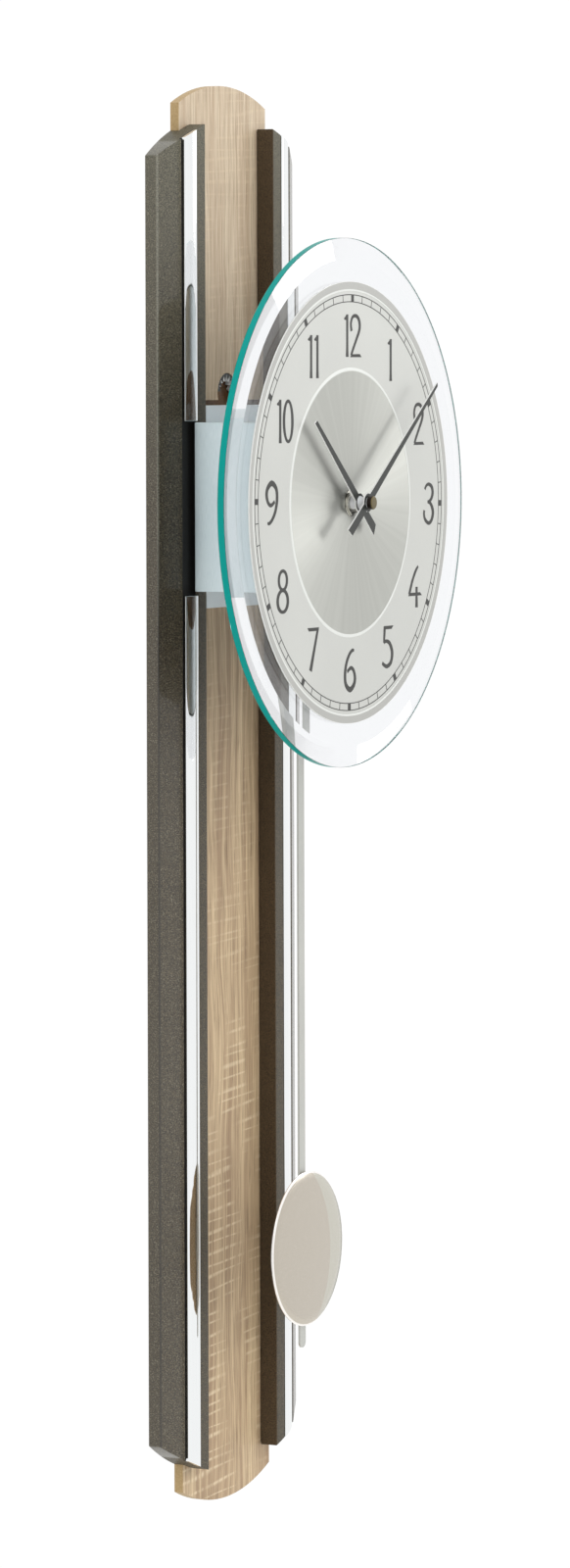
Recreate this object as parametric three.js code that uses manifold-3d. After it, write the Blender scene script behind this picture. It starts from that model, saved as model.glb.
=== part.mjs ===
// Pendulum wall clock: a tall wooden board between two lacquered slats with chrome strips, a metal
// housing that carries a round bevelled glass with the dial on its front, and a free pendulum below.
// Millimetres. +X is right, +Y is towards the wall, +Z is up. The wall is the plane Y = 0, and the
// origin is the tooth of the sawtooth hanger that rests on the wall hook.
// Every piece is drawn with the hand shaft's axis at X = 0, Z = 0, and the outer group lifts it into place.
import * as THREE from 'three';
import { mergeVertices } from 'three/addons/utils/BufferGeometryUtils.js';
import Module from 'manifold-3d';

const wasm = await Module();
wasm.setup();

// Driving dimensions
const SHAFT_Z = -54;
const GAP = 0.3;
const FINE = 0.1;

const BOARD = { half: 42.3, thick: 4.4, halfHeight: 314.3, crown: 9, midZ: -133 };
const CUTOUT = { half: 31, top: 38, bottom: -48 };
const POCKET = { top: 46.5, floor: -0.7 };
const HOOK_HOLE = { x: 3.7, z: 49.6, radius: 9.2 };
const NAIL_SLOT = { left: -2.3, right: 2.2, bottom: 47.2, top: 54.4 };
const HANGER = { front: -4.2, back: -1, teeth: 8, start: 3.6, valley: 8.4, crest: 5.8 };

const SLAT = {
    inner: 33.4,
    outer: 66.5,
    front: -13.15,
    stripEdge: 41.4,
    bevelEdge: 52.9,
    bevelFront: -11.5,
    sideFront: -6.1,
    recess: 1.25,
    tilt: 0.145,
    endRadius: 122.4,
    endCentre: 186.9,
};
const CHROME = {
    width: 9.4,
    proud: 0.5,
    rim: 0.8,
    dome: 0.35,
    upperEnd: 37.3,
    lowerEnd: -41.6,
    setBack: 0.1,
};

const HOUSING = { half: 45, top: 36.6, bottom: -39.7, back: -13.45, front: -64.2, wall: 1.2 };
const ROD_SLOT = { half: 7.5, front: -46.6, back: -38.8 };
const FRAME = { half: 33.1, top: 44.1, bottom: -47.7, front: -13.15, back: -4.7, wall: 1.2 };
const FRAME_OPENING = { half: 26.5, top: 33, bottom: -36 };
const FRAME_SCREWS = [[-29.2, 28], [29.2, 28], [-29.2, -31], [29.2, -31]];

const GLASS = { radius: 120, back: -64.5, rimFront: -68, front: -69.3, bevel: 9.5, arris: 0.3 };
const DIAL = { radius: 100.2, back: -69.35, front: -69.7 };
const CENTRE = { radius: 60, back: -69.73, front: -69.93 };
const BUSHING = { radius: 3.9, bore: 3.05, flange: 5, flangeThick: 0.4, back: -61.45, front: -70.7 };
const WASHER = { radius: 6.4, back: -69.98, front: -70.2 };
const NUT = { radius: 6.1, back: -70.25, front: -71 };

const HOUR_HAND = { y: -74, tip: 57.4, tail: 20.5, wide: 2.5, narrow: 1.15, boss: 4.2, angle: -49.6 };
const MINUTE_HAND = { y: -78.2, tip: 90.2, tail: 23.2, wide: 2.3, narrow: 0.8, boss: 4.2, angle: 53.7 };
const HAND_THICK = 0.7;
const HOUR_TUBE = { radius: 2.95, bore: 2.55, front: -74.6 };
const MINUTE_TUBE = { radius: 2.45, front: -79, stud: 1.5, studLength: 1.6 };
const CAP = { radius: 3.1, bore: 1.6, back: -79.1, front: -81.6, roof: 0.7, chamfer: 0.4 };

const CASE = { half: 28, top: 34.9, bottom: -33, front: -62.9, split: -54.6, back: -46.3, wall: 1.4 };
const BATTERY = { radius: 7.25, length: 50.5, y: -54.1, z: 25.8 };

// Wheel layers, each from its front face to its back face
const LAYER = {
    hour: [-60.7, -59.9],
    cannon: [-59.5, -58.7],
    centre: [-58.3, -57.5],
    third: [-56.7, -55.9],
    seconds: [-55.1, -54.3],
    intermediate: [-53.9, -53.2],
    bridge: [-52.6, -51.4],
};
const MODULE = 0.5;
const FINE_MODULE = 0.4;
const TEETH = {
    cannon: 10,
    motion: 30,
    motionPinion: 8,
    hour: 32,
    knob: 10,
    centre: 48,
    thirdPinion: 6,
    third: 45,
    secondsPinion: 6,
    seconds: 30,
    intermediatePinion: 6,
    intermediate: 36,
    rotorPinion: 6,
};
const INTERMEDIATE_CLEARANCE = 0.9;
const ARBOR = 0.7;
const ARBOR_FRONT = -61.35;
const ARBOR_BACK = -51.7;
const RUNNING = 0.08;
const BRIDGE = { left: -20, right: 22, bottom: -30, top: 12 };
const KNOB = { shaft: 1, radius: 4.2, thick: 2.6, grooves: 8, groove: 0.45 };

// Motor and circuit
const COIL = { x0: 12, x1: 24, y: -57.4, z: -27.6, core: 1.1, radius: 3.1 };
const STATOR = { half: 3.6, leg: 2, overhang: 2.4, thick: 0.8, bore: 3 };
const ROTOR_MAGNET = { radius: 2.4, front: -58, back: -55.4 };
const CIRCUIT = { x0: -26, x1: -11, front: -50.4, back: -49.4, z0: -29, z1: 14 };
const CRYSTAL = { x0: -24, x1: -16, front: -49.3, back: -47.9, z0: -2, z1: 1.2 };
const DRIVE_COIL = { radius: 5.5, bore: 1.5, front: -50.7, back: -47.9 };

// Pendulum
const PIVOT = { z: -14, radius: 1, head: 2.4, headThick: 1, front: -47.4, back: -41 };
const HANGER_BAR = { half: 4, length: 17, front: -45.1 };
const MAGNET = { z: -24.5, radius: 3, front: -46.05, back: -45.2 };
const ROD = { half: 2.8, front: -44, back: -43, top: -19, bottom: -385 };
const BOB = { radius: 35, z: -339.7, front: -48.4, rimFront: -46.8, rimBack: -45.7, hub: 12, back: -44.3 };
const BOB_SLIDE = { half: 5, halfHeight: 10, back: -41.7 };

// Materials
const finish = (colour, roughness, metalness) => (
    new THREE.MeshStandardMaterial({ color: colour, roughness, metalness })
);
const LOOK = {
    wood: finish(0xb49b7e, 0.6, 0),
    lacquer: finish(0x6e6a63, 0.35, 0.5),
    chrome: finish(0xdedede, 0.08, 1),
    silver: finish(0xc3cbcf, 0.3, 0.8),
    glass: finish(0x9fd6d0, 0.03, 0),
    dial: finish(0xd8d8d4, 0.4, 0.6),
    brushed: finish(0xc4c6c2, 0.3, 0.9),
    nickel: finish(0xb9b6ad, 0.3, 1),
    hand: finish(0x4a4b47, 0.4, 0.6),
    white: finish(0xe6eaee, 0.4, 0),
    bronze: finish(0x6a5c3d, 0.35, 0.8),
    black: finish(0x1f2022, 0.5, 0),
    copper: finish(0xa5572f, 0.4, 0.8),
    steel: finish(0x9a9ca0, 0.35, 1),
    board: finish(0x2c6b45, 0.5, 0),
    champagne: finish(0xc8bfb0, 0.3, 0.9),
    battery: finish(0x35506e, 0.4, 0.1),
};

// Solids
function solid(geometry) {
    const bare = geometry.clone();
    bare.deleteAttribute('normal');
    bare.deleteAttribute('uv');
    const merged = mergeVertices(bare, 1e-4);
    const points = Float32Array.from(merged.attributes.position.array);
    const indices = merged.index.array;
    const kept = [];
    for (let i = 0; i < indices.length; i += 3) {
        const [a, b, c] = indices.slice(i, i + 3);
        if (a !== b && b !== c && c !== a) kept.push(a, b, c);
    }
    const vertex = (index) => new THREE.Vector3().fromArray(points, index * 3);
    let volume = 0;
    for (let i = 0; i < kept.length; i += 3) {
        volume += vertex(kept[i]).dot(vertex(kept[i + 1]).cross(vertex(kept[i + 2])));
    }
    if (volume < 0) kept.reverse();
    const mesh = new wasm.Mesh({
        numProp: 3,
        vertProperties: points,
        triVerts: Uint32Array.from(kept),
    });
    return new wasm.Manifold(mesh);
}

function geometryOf(shape) {
    const mesh = shape.getMesh();
    const geometry = new THREE.BufferGeometry();
    geometry.setAttribute('position', new THREE.BufferAttribute(Float32Array.from(mesh.vertProperties), 3));
    geometry.setIndex(Array.from(mesh.triVerts));
    return geometry;
}

const clock = new THREE.Group();
clock.position.z = SHAFT_Z;

function add(name, shape, material) {
    const geometry = geometryOf(shape);
    geometry.computeVertexNormals();
    const mesh = new THREE.Mesh(geometry, material);
    mesh.name = name;
    clock.add(mesh);
}

function block(x0, x1, y0, y1, z0, z1) {
    const geometry = new THREE.BoxGeometry(x1 - x0, y1 - y0, z1 - z0);
    geometry.translate((x0 + x1) / 2, (y0 + y1) / 2, (z0 + z1) / 2);
    return solid(geometry);
}

// A solid turned about an axis parallel to Y through (x, z); the profile holds [radius, y] points.
function turned(profile, x = 0, z = 0, segments = 32) {
    const points = profile.map(([radius, y]) => new THREE.Vector2(radius, y));
    const geometry = new THREE.LatheGeometry(points, segments);
    geometry.translate(x, 0, z);
    return solid(geometry);
}

function pin(radius, front, back, x = 0, z = 0, segments = 16) {
    return turned([[0, front], [radius, front], [radius, back], [0, back]], x, z, segments);
}

function tube(outer, inner, front, back, x = 0, z = 0, segments = 32) {
    const profile = [[inner, front], [outer, front], [outer, back], [inner, back], [inner, front]];
    return turned(profile, x, z, segments);
}

// A plate whose outline is drawn as seen from the front, in X and Z, from its front face to its back face.
function plate(outline, front, back, curveSegments = 10) {
    const geometry = new THREE.ExtrudeGeometry(outline, {
        depth: back - front,
        bevelEnabled: false,
        curveSegments,
    });
    geometry.rotateX(Math.PI / 2);
    geometry.translate(0, back, 0);
    return solid(geometry);
}

// A box with walls all round and an open back
function openBox(half, front, back, bottom, top, wall) {
    const inner = block(-half + wall, half - wall, front + wall, back + 1, bottom + wall, top - wall);
    return block(-half, half, front, back, bottom, top).subtract(inner);
}

const mirrored = (shape) => shape.mirror([1, 0, 0]);

// Board and slats. Below the hook hole the board is cut through for the housing's back, and above that the
// cut goes on as a pocket whose thin floor is pierced by the nail slot.
function archedOutline(half, halfHeight, crown, midZ) {
    const radius = (half * half + crown * crown) / (2 * crown);
    const spread = Math.asin(half / radius);
    const centre = halfHeight + crown - radius;
    const outline = new THREE.Shape();
    outline.moveTo(half, midZ - halfHeight);
    outline.lineTo(half, midZ + halfHeight);
    outline.absarc(0, midZ + centre, radius, Math.PI / 2 - spread, Math.PI / 2 + spread, false);
    outline.lineTo(-half, midZ - halfHeight);
    outline.absarc(0, midZ - centre, radius, -Math.PI / 2 - spread, -Math.PI / 2 + spread, false);
    return outline;
}

function backBoard() {
    const outline = archedOutline(BOARD.half, BOARD.halfHeight, BOARD.crown, BOARD.midZ);
    let board = plate(outline, -BOARD.thick, 0);
    const front = -BOARD.thick - 1;
    board = board.subtract(block(-CUTOUT.half, CUTOUT.half, front, 1, CUTOUT.bottom, CUTOUT.top));
    board = board.subtract(block(-CUTOUT.half, CUTOUT.half, front, POCKET.floor, CUTOUT.top - 1, POCKET.top));
    board = board.subtract(pin(HOOK_HOLE.radius, front, POCKET.floor, HOOK_HOLE.x, HOOK_HOLE.z, 40));
    const { left, right, bottom, top } = NAIL_SLOT;
    return board.subtract(block(left, right, front, 1, bottom, top));
}

// The outline of one slat's face as seen from the front, with its ends cut to an arc
function slatFace(left, right, radius, low, high) {
    const middle = BOARD.midZ;
    const endHeight = (x) => SLAT.endCentre + Math.sqrt(radius * radius - x * x);
    const steps = 10;
    const outline = new THREE.Shape();
    const xs = Array.from({ length: steps + 1 }, (_, i) => left + ((right - left) * i) / steps);
    xs.forEach((x, i) => {
        const top = Math.min(middle + endHeight(x), high);
        if (i === 0) outline.moveTo(x, top);
        else outline.lineTo(x, top);
    });
    xs.reverse().forEach((x) => outline.lineTo(x, Math.max(middle - endHeight(x), low)));
    return outline;
}

function slat() {
    const recessFloor = (x) => SLAT.front + SLAT.recess + (x - SLAT.stripEdge) * SLAT.tilt;
    const profile = new THREE.Shape();
    profile.moveTo(SLAT.inner, -BOARD.thick - GAP);
    profile.lineTo(SLAT.inner, SLAT.front);
    profile.lineTo(SLAT.stripEdge, SLAT.front);
    profile.lineTo(SLAT.stripEdge, recessFloor(SLAT.stripEdge));
    profile.lineTo(SLAT.bevelEdge, recessFloor(SLAT.bevelEdge));
    profile.lineTo(SLAT.bevelEdge, SLAT.bevelFront);
    profile.lineTo(SLAT.outer, SLAT.sideFront);
    profile.lineTo(SLAT.outer, 0);
    profile.lineTo(BOARD.half + GAP, 0);
    profile.lineTo(BOARD.half + GAP, -BOARD.thick - GAP);
    const height = 2 * (BOARD.halfHeight + BOARD.crown);
    const geometry = new THREE.ExtrudeGeometry(profile, { depth: height, bevelEnabled: false });
    geometry.translate(0, 0, BOARD.midZ - height / 2);
    const face = slatFace(SLAT.inner - 1, SLAT.outer + 1, SLAT.endRadius, -1000, 1000);
    return solid(geometry).intersect(plate(face, -20, 5));
}

function chromeStrip(low, high) {
    const left = SLAT.stripEdge + GAP;
    const right = left + CHROME.width;
    const seat = (x, above) => SLAT.front + (x - SLAT.stripEdge) * SLAT.tilt - above;
    const floor = FINE - SLAT.recess;
    const profile = new THREE.Shape();
    profile.moveTo(left, seat(left, floor));
    profile.lineTo(left, seat(left, CHROME.proud - 0.3));
    const steps = 8;
    for (let i = 0; i <= steps; i++) {
        const x = left + CHROME.rim + ((right - left - 2 * CHROME.rim) * i) / steps;
        const rise = CHROME.dome * Math.sin((Math.PI * i) / steps);
        profile.lineTo(x, seat(x, CHROME.proud + rise));
    }
    profile.lineTo(right, seat(right, CHROME.proud - 0.3));
    profile.lineTo(right, seat(right, floor));
    const height = 2 * (BOARD.halfHeight + BOARD.crown);
    const geometry = new THREE.ExtrudeGeometry(profile, { depth: height, bevelEnabled: false });
    geometry.translate(0, 0, BOARD.midZ - height / 2);
    const face = slatFace(left - 1, right + 1, SLAT.endRadius - CHROME.setBack, low, high);
    return solid(geometry).intersect(plate(face, -20, 5));
}

// Hanger: an arch with sawteeth on its inner edge, let into the top of the hook hole
function sawtoothHanger() {
    const { front, back, teeth, valley, crest } = HANGER;
    const { x, z } = HOOK_HOLE;
    const start = THREE.MathUtils.degToRad(HANGER.start);
    const step = (Math.PI - 2 * start) / teeth;
    const outline = new THREE.Shape();
    outline.absarc(x, z, HOOK_HOLE.radius - GAP, start, start + teeth * step, false);
    for (let i = teeth; i > 0; i--) {
        const crestAngle = start + (i - 0.25) * step;
        const valleyAngle = start + (i - 1) * step;
        outline.lineTo(x + crest * Math.cos(crestAngle), z + crest * Math.sin(crestAngle));
        outline.lineTo(x + valley * Math.cos(valleyAngle), z + valley * Math.sin(valleyAngle));
    }
    return plate(outline, front, back, 20);
}

// Housing and its frame
function housingShell() {
    const { half, top, bottom, back, front, wall } = HOUSING;
    let shell = openBox(half, front, back, bottom, top, wall);
    shell = shell.subtract(pin(BUSHING.radius + GAP, front - 1, front + wall + 1, 0, 0, 32));
    const slot = ROD_SLOT;
    return shell.subtract(block(-slot.half, slot.half, slot.front, slot.back, bottom - 1, bottom + wall + 1));
}

function mountingFrame() {
    const { half, top, bottom, front, back, wall } = FRAME;
    let frame = openBox(half, front, back, bottom, top, wall);
    const opening = FRAME_OPENING;
    frame = frame.subtract(block(-opening.half, opening.half, front - 1, back, opening.bottom, opening.top));
    for (const [x, z] of FRAME_SCREWS) {
        frame = frame.add(pin(2.3, front + 0.5, back, x, z, 12));
        frame = frame.subtract(pin(1.35, front - 1, back + 1, x, z, 12));
    }
    return frame;
}

function frameScrew(x, z) {
    const head = FRAME.front - FINE;
    const slot = block(x - 3, x + 3, head - 2, head - 0.6, z - 0.3, z + 0.3);
    const profile = [[0, head - 1.1], [1.7, head - 1.1], [2.2, head - 0.6], [2.2, head], [1.2, head]];
    const shank = [[1.2, -BOARD.thick - 0.2], [0, -BOARD.thick - 0.2]];
    return turned([...profile, ...shank], x, z, 12).subtract(slot);
}

// Glass, dial and hands
function glassDisc() {
    const bore = BUSHING.radius + GAP;
    const { radius, back, rimFront, front, bevel, arris } = GLASS;
    const profile = [
        [bore, back],
        [radius - arris, back],
        [radius, back - arris],
        [radius, rimFront],
        [radius - bevel, front],
        [bore, front],
        [bore, back],
    ];
    return turned(profile, 0, 0, 64);
}

function hexRing(radius, bore, front, back) {
    const outline = new THREE.Shape();
    for (let i = 0; i < 6; i++) {
        const angle = (i * Math.PI) / 3 + 0.2;
        const point = [radius * Math.cos(angle), radius * Math.sin(angle)];
        if (i === 0) outline.moveTo(...point);
        else outline.lineTo(...point);
    }
    return plate(outline, front, back).subtract(pin(bore, front - 1, back + 1, 0, 0, 24));
}

// A flat tapering hand with a slanted tail end and a round boss, pointing at a clock angle
function hand({ y, tip, tail, wide, narrow, boss, angle }, bore) {
    const outline = new THREE.Shape();
    outline.moveTo(-wide, -tail);
    outline.lineTo(wide, -tail + 1.6);
    outline.lineTo(narrow, tip - 0.8);
    outline.lineTo(-narrow, tip);
    let blade = plate(outline, y - HAND_THICK / 2, y + HAND_THICK / 2);
    blade = blade.add(pin(boss, y - HAND_THICK / 2, y + HAND_THICK / 2, 0, 0, 24));
    blade = blade.subtract(pin(bore, y - 2, y + 2, 0, 0, 24));
    return blade.rotate([0, angle, 0]);
}

function capNut() {
    const { radius, bore, back, front, roof, chamfer } = CAP;
    return turned([
        [bore, back],
        [radius, back],
        [radius, front + chamfer],
        [radius - chamfer, front],
        [0, front],
        [0, front + roof],
        [bore, front + roof],
        [bore, back],
    ], 0, 0, 24);
}

// Gears: teeth are short trapezia, and phase is the angle of one tooth's middle in the X-Z view
function gear(teeth, module, [front, back], phase = 0, x = 0, z = 0) {
    const pitch = (teeth * module) / 2;
    const tip = pitch + 0.65 * module;
    const root = pitch - 0.9 * module;
    const step = (2 * Math.PI) / teeth;
    const outline = new THREE.Shape();
    for (let i = 0; i < teeth; i++) {
        const corners = [[root, -0.2], [tip, -0.1], [tip, 0.1], [root, 0.2]];
        corners.forEach(([radius, share], corner) => {
            const angle = phase + (i + share) * step;
            const point = [x + radius * Math.cos(angle), z + radius * Math.sin(angle)];
            if (i === 0 && corner === 0) outline.moveTo(...point);
            else outline.lineTo(...point);
        });
    }
    return plate(outline, front, back);
}

// The phase of a driven gear that meshes with a gear of known phase, seen along a direction
function meshed(phase, teeth, drivenTeeth, direction) {
    const offset = ((phase - direction) * teeth) / drivenTeeth;
    return direction + Math.PI - offset + Math.PI / drivenTeeth;
}

const polar = (x, z, distance, direction) => [
    x + distance * Math.cos(direction),
    z + distance * Math.sin(direction),
];
const centreDistance = (first, second, module) => ((first + second) * module) / 2;

const MOTION_DIRECTION = Math.PI / 9;
const MOTION_AT = polar(0, 0, centreDistance(TEETH.cannon, TEETH.motion, MODULE), MOTION_DIRECTION);
const KNOB_DIRECTION = -0.436;
const KNOB_AT = polar(...MOTION_AT, centreDistance(TEETH.motion, TEETH.knob, MODULE), KNOB_DIRECTION);
const THIRD_DIRECTION = (-2 * Math.PI) / 3;
const THIRD_AT = polar(0, 0, centreDistance(TEETH.centre, TEETH.thirdPinion, MODULE), THIRD_DIRECTION);
const SECONDS_DIRECTION = -Math.PI / 3;
const SECONDS_AT = polar(
    ...THIRD_AT,
    centreDistance(TEETH.third, TEETH.secondsPinion, FINE_MODULE),
    SECONDS_DIRECTION,
);
const INTERMEDIATE_AT = polar(
    ...SECONDS_AT,
    centreDistance(TEETH.seconds, TEETH.intermediatePinion, MODULE) + INTERMEDIATE_CLEARANCE,
    -0.087,
);
const ROTOR_DIRECTION = Math.PI / 9;
const ROTOR_AT = polar(
    ...INTERMEDIATE_AT,
    centreDistance(TEETH.intermediate, TEETH.rotorPinion, FINE_MODULE),
    ROTOR_DIRECTION,
);

const arbor = ([x, z]) => pin(ARBOR, ARBOR_FRONT, ARBOR_BACK, x, z, 12);

function centreWheel() {
    const [cannonFront] = LAYER.cannon;
    const { radius, front, stud, studLength } = MINUTE_TUBE;
    const shaft = turned([
        [0, front - studLength],
        [stud, front - studLength],
        [stud, front],
        [radius, front],
        [radius, cannonFront - FINE],
        [stud, cannonFront - FINE],
        [stud, LAYER.centre[1] + 0.4],
        [ARBOR, LAYER.centre[1] + 0.4],
        [ARBOR, ARBOR_BACK],
        [0, ARBOR_BACK],
    ], 0, 0, 16);
    const cannon = gear(TEETH.cannon, MODULE, LAYER.cannon);
    const wheel = gear(TEETH.centre, MODULE, LAYER.centre);
    return shaft.add(cannon).add(wheel);
}

function hourWheel() {
    const motionPhase = meshed(0, TEETH.cannon, TEETH.motion, MOTION_DIRECTION);
    const back = MOTION_DIRECTION + Math.PI;
    const phase = meshed(motionPhase, TEETH.motionPinion, TEETH.hour, back);
    const wheel = gear(TEETH.hour, MODULE, LAYER.hour, phase);
    const sleeve = pin(HOUR_TUBE.radius, HOUR_TUBE.front, LAYER.hour[1], 0, 0, 24);
    return wheel.add(sleeve).subtract(pin(HOUR_TUBE.bore, -90, -50, 0, 0, 24));
}

function motionWheel() {
    const phase = meshed(0, TEETH.cannon, TEETH.motion, MOTION_DIRECTION);
    const wheel = gear(TEETH.motion, MODULE, LAYER.cannon, phase, ...MOTION_AT);
    const pinionLayer = [LAYER.hour[0], LAYER.cannon[0] + 0.2];
    const pinion = gear(TEETH.motionPinion, MODULE, pinionLayer, phase, ...MOTION_AT);
    return wheel.add(pinion).subtract(pin(0.8 + RUNNING, -70, -50, ...MOTION_AT, 12));
}

function settingKnob() {
    const motionPhase = meshed(0, TEETH.cannon, TEETH.motion, MOTION_DIRECTION);
    const phase = meshed(motionPhase, TEETH.motion, TEETH.knob, KNOB_DIRECTION);
    const pinion = gear(TEETH.knob, MODULE, LAYER.cannon, phase, ...KNOB_AT);
    const end = CASE.back + KNOB.thick;
    const shaft = pin(KNOB.shaft, ARBOR_FRONT, end - 0.6, ...KNOB_AT, 16);
    let grip = pin(KNOB.radius, CASE.back + FINE, end, ...KNOB_AT, 32);
    for (let i = 0; i < KNOB.grooves; i++) {
        const at = polar(...KNOB_AT, KNOB.radius + FINE, (2 * Math.PI * i) / KNOB.grooves);
        grip = grip.subtract(pin(KNOB.groove, CASE.back - 1, end + 1, ...at, 8));
    }
    return shaft.add(pinion).add(grip);
}

function thirdWheel() {
    const pinionPhase = meshed(0, TEETH.centre, TEETH.thirdPinion, THIRD_DIRECTION);
    const pinion = gear(TEETH.thirdPinion, MODULE, LAYER.centre, pinionPhase, ...THIRD_AT);
    const wheel = gear(TEETH.third, FINE_MODULE, LAYER.third, pinionPhase, ...THIRD_AT);
    return arbor(THIRD_AT).add(pinion).add(wheel);
}

function secondsWheel() {
    const thirdPhase = meshed(0, TEETH.centre, TEETH.thirdPinion, THIRD_DIRECTION);
    const phase = meshed(thirdPhase, TEETH.third, TEETH.secondsPinion, SECONDS_DIRECTION);
    const pinion = gear(TEETH.secondsPinion, FINE_MODULE, LAYER.third, phase, ...SECONDS_AT);
    const wheel = gear(TEETH.seconds, MODULE, LAYER.seconds, phase, ...SECONDS_AT);
    return arbor(SECONDS_AT).add(pinion).add(wheel);
}

function intermediateWheel() {
    const pinion = gear(TEETH.intermediatePinion, MODULE, LAYER.seconds, 0, ...INTERMEDIATE_AT);
    const wheel = gear(TEETH.intermediate, FINE_MODULE, LAYER.intermediate, 0, ...INTERMEDIATE_AT);
    return arbor(INTERMEDIATE_AT).add(pinion).add(wheel);
}

function rotor() {
    const phase = meshed(0, TEETH.intermediate, TEETH.rotorPinion, ROTOR_DIRECTION);
    const pinion = gear(TEETH.rotorPinion, FINE_MODULE, LAYER.intermediate, phase, ...ROTOR_AT);
    const { radius, front, back } = ROTOR_MAGNET;
    const magnet = pin(radius, front, back, ...ROTOR_AT, 24);
    return arbor(ROTOR_AT).add(pinion).add(magnet);
}

// Movement case and what it holds
function frontCase() {
    const { half, top, bottom, front, split, wall } = CASE;
    let shell = openBox(half, front, split - FINE, bottom, top, wall);
    shell = shell.subtract(pin(BUSHING.radius + FINE, front - 1, front + 3, 0, 0, 32));
    shell = shell.add(pin(0.8, front + 0.5, LAYER.cannon[1] + 0.2, ...MOTION_AT, 12));
    for (const at of [KNOB_AT, THIRD_AT, SECONDS_AT, INTERMEDIATE_AT, ROTOR_AT]) {
        const bore = at === KNOB_AT ? KNOB.shaft : ARBOR;
        shell = shell.add(tube(bore + 1, bore + RUNNING, front + 1.3, front + 2.2, ...at, 12));
    }
    return shell;
}

function rearCase() {
    const { half, top, bottom, split, back, wall } = CASE;
    let shell = block(-half, half, split, back, bottom, top);
    const inner = half - wall;
    shell = shell.subtract(block(-inner, inner, split - 1, back - wall, bottom + wall, top - wall));
    const bayFloor = BATTERY.z - BATTERY.radius - 0.4;
    shell = shell.add(block(-half + 1, half - 1, split + 0.2, back - 1, bayFloor - wall, bayFloor));
    shell = shell.subtract(block(-half + 1.9, half - 1.9, back - 3, back + 1, bayFloor, top - wall));
    shell = shell.subtract(pin(KNOB.shaft + RUNNING, back - 3, back + 1, ...KNOB_AT, 16));
    return shell.subtract(pin(PIVOT.radius + 0.02, back - 3, back + 1, 0, PIVOT.z, 16));
}

function trainBridge() {
    const [front, back] = LAYER.bridge;
    let bridge = block(BRIDGE.left, BRIDGE.right, front, back, BRIDGE.bottom, BRIDGE.top);
    for (const at of [[0, 0], THIRD_AT, SECONDS_AT, INTERMEDIATE_AT, ROTOR_AT]) {
        bridge = bridge.subtract(pin(ARBOR + RUNNING, front - 1, back + 1, ...at, 12));
    }
    return bridge.subtract(pin(KNOB.shaft + RUNNING, front - 1, back + 1, ...KNOB_AT, 16));
}

function bushing() {
    const { radius, bore, flange, flangeThick, back, front } = BUSHING;
    return turned([
        [bore, front],
        [radius, front],
        [radius, back],
        [flange, back],
        [flange, back + flangeThick],
        [bore, back + flangeThick],
        [bore, front],
    ], 0, 0, 24);
}

function stator() {
    const { x0, x1, core } = COIL;
    const { half, leg, overhang, thick, bore } = STATOR;
    const [x, z] = ROTOR_AT;
    const front = COIL.y - thick / 2;
    const back = COIL.y + thick / 2;
    const left = x0 - overhang;
    const right = x1 + overhang;
    let shape = block(left, right, front, back, COIL.z - core, COIL.z + core);
    shape = shape.add(block(left, left + leg, front, back, COIL.z - core, z + half));
    shape = shape.add(block(right - leg, right, front, back, COIL.z - core, z + half));
    shape = shape.add(block(left, right, front, back, z - half, z + half));
    return shape.subtract(pin(bore, front - 1, back + 1, x, z, 24));
}

function motorCoil() {
    const { x0, x1, y, z, core, radius } = COIL;
    const points = [[0, 0], [radius, 0], [radius, 1], [radius - 0.4, 1], [radius - 0.4, x1 - x0 - 1]];
    const more = [[radius, x1 - x0 - 1], [radius, x1 - x0], [0, x1 - x0]];
    const profile = [...points, ...more].map(([r, along]) => new THREE.Vector2(r, along));
    const geometry = new THREE.LatheGeometry(profile, 24);
    geometry.rotateZ(-Math.PI / 2);
    geometry.translate(x0, y, z);
    const bore = core + FINE;
    return solid(geometry).subtract(block(x0 - 1, x1 + 1, y - 0.5, y + 0.5, z - bore, z + bore));
}

function driveCoil() {
    const { radius, bore, front, back } = DRIVE_COIL;
    return tube(radius, bore, front, back, 0, MAGNET.z, 32);
}

function battery() {
    const { radius, length, y, z } = BATTERY;
    const profile = [
        [0, -length / 2],
        [radius - 0.6, -length / 2],
        [radius, -length / 2 + 0.6],
        [radius, length / 2 - 2],
        [radius - 0.6, length / 2 - 1.4],
        [2.7, length / 2 - 1.4],
        [2.7, length / 2],
        [0, length / 2],
    ].map(([r, along]) => new THREE.Vector2(r, along));
    const geometry = new THREE.LatheGeometry(profile, 32);
    geometry.rotateZ(-Math.PI / 2);
    geometry.translate(0, y, z);
    return solid(geometry);
}

function batteryContact(side) {
    const near = BATTERY.length / 2 + 0.35;
    const { y, z } = BATTERY;
    const leaf = block(near, near + 0.5, y - 5, y + 5, z - 5, z + 5);
    const tag = block(near, near + 0.5, y + 1, y + 4, z - 7, z - 4);
    const contact = leaf.add(tag);
    return side > 0 ? contact : mirrored(contact);
}

// Pendulum
function pendulumHanger() {
    const { half, length, front } = HANGER_BAR;
    const outline = new THREE.Shape();
    outline.absarc(0, PIVOT.z, half, 0, Math.PI, false);
    outline.lineTo(-half, PIVOT.z - length);
    outline.absarc(0, PIVOT.z - length, half, Math.PI, 2 * Math.PI, false);
    const bar = plate(outline, front, ROD.front - FINE);
    return bar.subtract(pin(PIVOT.radius + RUNNING, front - 1, ROD.front + 1, 0, PIVOT.z, 16));
}

function pivotPin() {
    const { z, radius, head, headThick, front, back } = PIVOT;
    const neck = back - headThick;
    const profile = [[0, front], [radius, front], [radius, neck], [head, neck], [head, back], [0, back]];
    return turned(profile, 0, z, 16);
}

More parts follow.
